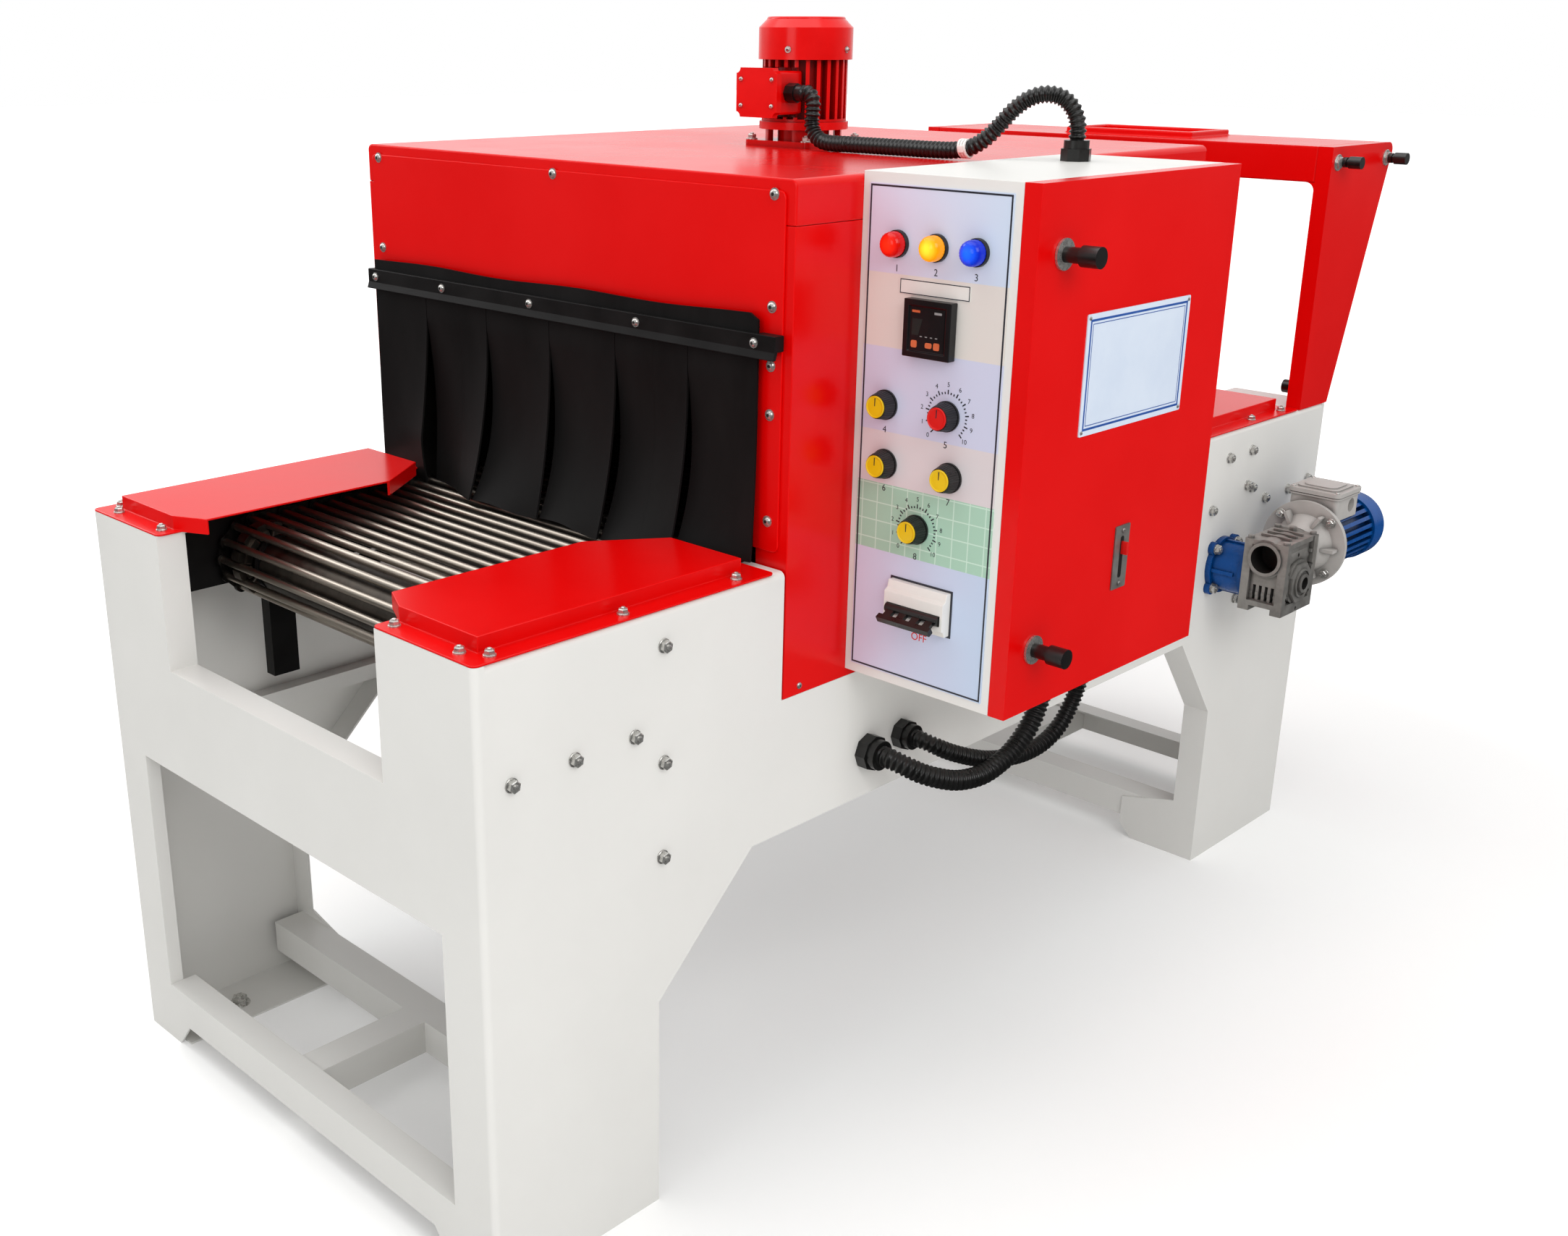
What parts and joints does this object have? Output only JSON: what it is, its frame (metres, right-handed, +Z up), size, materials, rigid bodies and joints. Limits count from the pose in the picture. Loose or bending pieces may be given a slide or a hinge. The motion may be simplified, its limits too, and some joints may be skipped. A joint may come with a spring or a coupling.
{
  "type": "heat shrink tunnel",
  "caption": "Heat shrink tunnel: chain-and-rod conveyor through an insulated hood with strip curtains, side control box, gear motor, blower and outfeed gantry on a folded sheet base.",
  "frame": {"origin": "on the floor at the centre of the four anchor bolt holes", "axes": "+Z up, +Y from the infeed end to the outfeed end, +X to the side that carries the control box"},
  "size_m": [1.0813, 1.9528, 1.376],
  "materials": {
    "white_enamel": "satin powder coat",
    "red_enamel": "gloss enamel",
    "bright_steel": "drawn bar",
    "black_steel": "satin black",
    "black_rubber": "matte sheet",
    "black_plastic": "moulded",
    "white_plastic": "moulded",
    "lamp_plastic": "clear coloured",
    "fascia_film": "printed film",
    "blue_enamel": "gloss enamel",
    "cast_grey": "die cast"
  },
  "bodies": {
    "frame": {"right_side_panel": "white_enamel", "left_side_panel": "white_enamel", "front_end_panel": "white_enamel", "rear_end_panel": "white_enamel", "cross_rails": "white_enamel", "control_box": "white_enamel", "hood_left_wall": "red_enamel", "hood_right_wall": "red_enamel", "hood_top": "red_enamel", "front_mouth_plate": "red_enamel", "rear_mouth_plate": "red_enamel", "front_guard_covers": "red_enamel", "rear_guard_covers": "red_enamel", "gantry_uprights": "red_enamel", "gantry_beam": "red_enamel", "blower_motor": "red_enamel", "blower_cowl": "red_enamel", "blower_terminal_box": "red_enamel", "conveyor_rods": "bright_steel", "front_shaft": "bright_steel", "rear_shaft": "bright_steel", "drive_shaft": "bright_steel", "conveyor_chains": "black_steel", "chain_guides": "black_steel", "front_clamp_bar": "black_steel", "rear_clamp_bar": "black_steel", "front_curtain_edges": "black_rubber", "rear_curtain_edges": "black_rubber", "conduit_glands": "black_plastic", "heater_conduit": "black_plastic", "motor_conduit": "black_plastic", "blower_conduit": "black_plastic", "temperature_controller": "black_plastic", "gantry_knobs": "black_plastic", "breaker_body": "white_plastic", "pilot_lamps": "lamp_plastic", "fascia": "fascia_film", "output_flange": "blue_enamel", "gear_motor": "blue_enamel", "gearbox": "cast_grey", "motor_flange": "cast_grey", "motor_terminal_box": "cast_grey", "shaft_bearings": "cast_grey"},
    "door": {"control_door": "red_enamel"},
    "upper_latch": {"upper_latch": "black_plastic"},
    "lower_latch": {"lower_latch": "black_plastic"},
    "front_curtain": {"front_curtain_strips": "black_rubber"},
    "rear_curtain": {"rear_curtain_strips": "black_rubber"},
    "toggle": {"breaker_toggle": "black_plastic"},
    "knob_1": {"knob_1": "black_plastic"},
    "knob_2": {"knob_2": "black_plastic"},
    "knob_3": {"knob_3": "black_plastic"},
    "knob_4": {"knob_4": "black_plastic"},
    "knob_5": {"knob_5": "black_plastic"}
  },
  "joints": [
    {"name": "door_hinge", "type": "hinge", "parent": "frame", "child": "door", "pos_m": [0.6193, 0.077, 0.9135], "axis": [0, 0, 1], "range_deg": [0, 120]},
    {"name": "upper_latch_turn", "type": "hinge", "parent": "door", "child": "upper_latch", "pos_m": [0.6353, -0.296, 1.136], "axis": [1, 0, 0], "range_deg": [0, 90]},
    {"name": "lower_latch_turn", "type": "hinge", "parent": "door", "child": "lower_latch", "pos_m": [0.6353, -0.296, 0.691], "axis": [1, 0, 0], "range_deg": [0, 90]},
    {"name": "front_curtain_swing", "type": "hinge", "parent": "frame", "child": "front_curtain", "pos_m": [0, -0.4685, 0.985], "axis": [1, 0, 0], "range_deg": [-75, 75]},
    {"name": "rear_curtain_swing", "type": "hinge", "parent": "frame", "child": "rear_curtain", "pos_m": [0, 0.4285, 0.985], "axis": [1, 0, 0], "range_deg": [-75, 75]},
    {"name": "breaker_switch", "type": "hinge", "parent": "frame", "child": "toggle", "pos_m": [0.511, -0.3595, 0.718], "axis": [-1, 0, 0], "range_deg": [0, 60]},
    {"name": "knob_1_turn", "type": "hinge", "parent": "frame", "child": "knob_1", "pos_m": [0.446, -0.3455, 0.953], "axis": [0, -1, 0], "range_deg": [-145, 145]},
    {"name": "knob_2_turn", "type": "hinge", "parent": "frame", "child": "knob_2", "pos_m": [0.533, -0.3455, 0.953], "axis": [0, -1, 0], "range_deg": [-145, 145]},
    {"name": "knob_3_turn", "type": "hinge", "parent": "frame", "child": "knob_3", "pos_m": [0.449, -0.3455, 0.884], "axis": [0, -1, 0], "range_deg": [-145, 145]},
    {"name": "knob_4_turn", "type": "hinge", "parent": "frame", "child": "knob_4", "pos_m": [0.541, -0.3455, 0.884], "axis": [0, -1, 0], "range_deg": [-145, 145]},
    {"name": "knob_5_turn", "type": "hinge", "parent": "frame", "child": "knob_5", "pos_m": [0.499, -0.3455, 0.815], "axis": [0, -1, 0], "range_deg": [-145, 145]}
  ]
}
